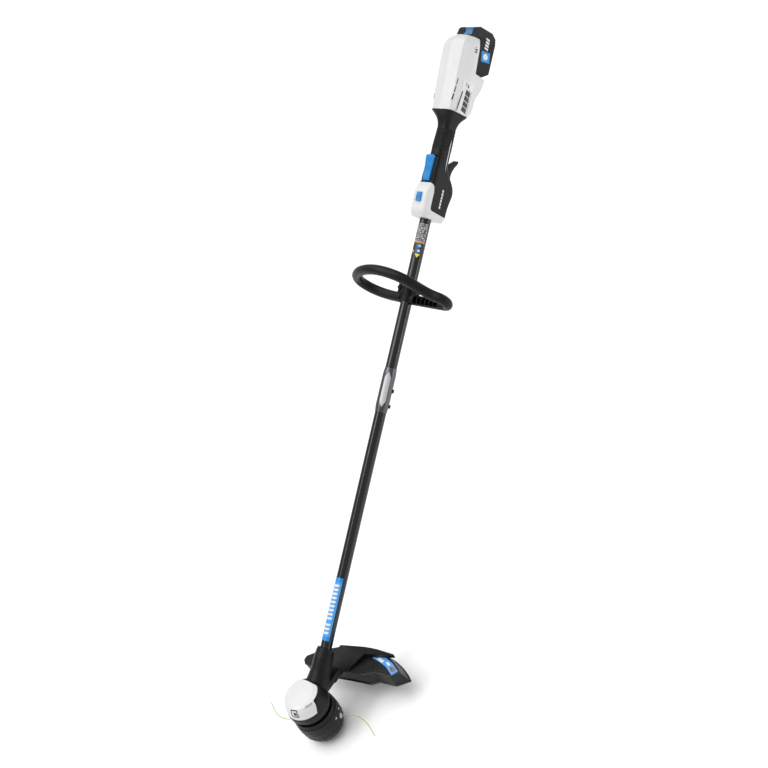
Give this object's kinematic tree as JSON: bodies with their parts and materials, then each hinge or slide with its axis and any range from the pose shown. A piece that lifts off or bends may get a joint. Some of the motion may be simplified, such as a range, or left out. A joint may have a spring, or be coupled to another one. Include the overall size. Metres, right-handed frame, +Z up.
{
  "type": "string trimmer",
  "caption": "Battery string trimmer with a straight shaft, bump-feed head, offset guard, loop handle and slide-in battery at the rear handle.",
  "frame": {"origin": "centre of the bump knob's underside, where it touches the ground", "axes": "+Z up along the spindle; +X forward, away from the user; +Y to the user's left. The shaft rises backwards at 34.5 degrees in the XZ plane"},
  "size_m": [1.3163, 0.3047, 0.9484],
  "materials": {
    "shaft_grey": "dark grey metallic paint on aluminium tube",
    "coupler_grey": "grey metallic paint",
    "bare_aluminium": "machined aluminium",
    "zinc_steel": "zinc plated screws and pins",
    "blackened_steel": "black oxide screws",
    "black_nylon": "black moulded glass-filled nylon with a fine grain",
    "drum_grey": "dark grey nylon",
    "white_abs": "white moulded plastic with a fine grain",
    "grip_rubber": "black soft-touch rubber with raised dots",
    "blue_plastic": "bright blue moulded plastic",
    "latch_blue": "mid blue moulded plastic",
    "badge_white": null,
    "line_green": "light green extruded nylon line",
    "laminated_steel": "stamped electrical steel",
    "copper": "enamelled copper wire",
    "blade_steel": "thin stamped steel blade",
    "spring_steel": "spring wire",
    "cable_black": "sheathed cable",
    "circuit_board": "green circuit board",
    "cell_sleeve": "sleeved lithium cells",
    "switch_plastic": "black switch body"
  },
  "bodies": {
    "frame": {"lower_tube": "shaft_grey", "upper_tube": "shaft_grey", "coupler_sleeve": "coupler_grey", "coupler_spigot": "bare_aluminium", "coupler_screws": "blackened_steel", "motor_cable": "cable_black", "head_housing_left": "black_nylon", "head_housing_right": "black_nylon", "motor_cover": "white_abs", "motor_base": "black_nylon", "motor_mount": "bare_aluminium", "motor_bearings": "zinc_steel", "motor_screws": "zinc_steel", "motor_stator": "laminated_steel", "motor_windings": "copper", "guard_skirt": "black_nylon", "guard_hood": "black_nylon", "guard_screws": "blackened_steel", "line_cutter": "blade_steel", "cutter_screws": "zinc_steel", "handle_left": "black_nylon", "handle_right": "black_nylon", "grip_sleeve": "grip_rubber", "front_cover": "white_abs", "handle_screws": "blackened_steel", "trigger_pin": "zinc_steel", "lockoff_pin": "zinc_steel", "trigger_spring": "spring_steel", "trigger_switch": "switch_plastic", "speed_switch_base": "switch_plastic", "control_board": "circuit_board", "rear_housing_left": "white_abs", "rear_housing_right": "white_abs", "housing_screws": "blackened_steel", "side_badges": "badge_white", "terminal_block": "switch_plastic"},
    "loop": {"loop_handle": "black_nylon", "clamp_cap": "black_nylon", "clamp_bolts": "blackened_steel"},
    "trigger": {"trigger": "black_nylon"},
    "lockoff": {"lockoff_lever": "blue_plastic"},
    "speed": {"speed_switch": "blue_plastic"},
    "battery": {"pack_case": "black_nylon", "pack_cover": "black_nylon", "battery_cells": "cell_sleeve"},
    "latch": {"pack_latch": "latch_blue"},
    "head": {"spindle": "zinc_steel", "motor_rotor": "zinc_steel", "rotor_magnets": "laminated_steel", "drum_shell": "drum_grey", "drum_collar": "black_nylon", "line_eyelets": "bare_aluminium", "spindle_nut": "zinc_steel", "cutting_line_left": "line_green", "cutting_line_right": "line_green", "knob_spring": "spring_steel"},
    "bump": {"bump_knob": "black_nylon"},
    "spool": {"spool": "black_nylon", "wound_line": "line_green"}
  },
  "joints": [
    {"name": "loop_handle_slide", "type": "slide", "parent": "frame", "child": "loop", "axis": [-0.8241, 0, 0.5664], "range_m": [-0.06, 0.05]},
    {"name": "trigger_hinge", "type": "hinge", "parent": "frame", "child": "trigger", "pos_m": [-0.98127, 0, 0.71937], "axis": [0, 1, 0], "range_deg": [0, 12], "stiffness_Nm_per_rad": 0.3, "springref_deg": -28.65},
    {"name": "lockoff_hinge", "type": "hinge", "parent": "frame", "child": "lockoff", "pos_m": [-0.94911, 0, 0.75733], "axis": [0, -1, 0], "range_deg": [0, 8], "stiffness_Nm_per_rad": 0.2, "springref_deg": -28.65},
    {"name": "speed_switch_slide", "type": "slide", "parent": "frame", "child": "speed", "axis": [-0.8241, 0, 0.5664], "range_m": [-0.003, 0.003]},
    {"name": "battery_slide", "type": "slide", "parent": "frame", "child": "battery", "axis": [-0.8241, 0, 0.5664], "range_m": [0, 0.075]},
    {"name": "battery_latch_press", "type": "slide", "parent": "battery", "child": "latch", "axis": [-0.5664, 0, -0.8241], "range_m": [0, 0.0025], "stiffness_N_per_m": 800, "springref_m": -0.004},
    {"name": "head_spin", "type": "hinge", "parent": "frame", "child": "head", "pos_m": [0, 0, 0.06], "axis": [0, 0, 1], "continuous": true},
    {"name": "bump_knob_press", "type": "slide", "parent": "head", "child": "bump", "axis": [0, 0, 1], "range_m": [0, 0.006], "stiffness_N_per_m": 600, "springref_m": -0.008, "deforming": ["knob_spring"]},
    {"name": "spool_index", "type": "hinge", "parent": "bump", "child": "spool", "pos_m": [0, 0, 0.04], "axis": [0, 0, 1], "continuous": true}
  ]
}
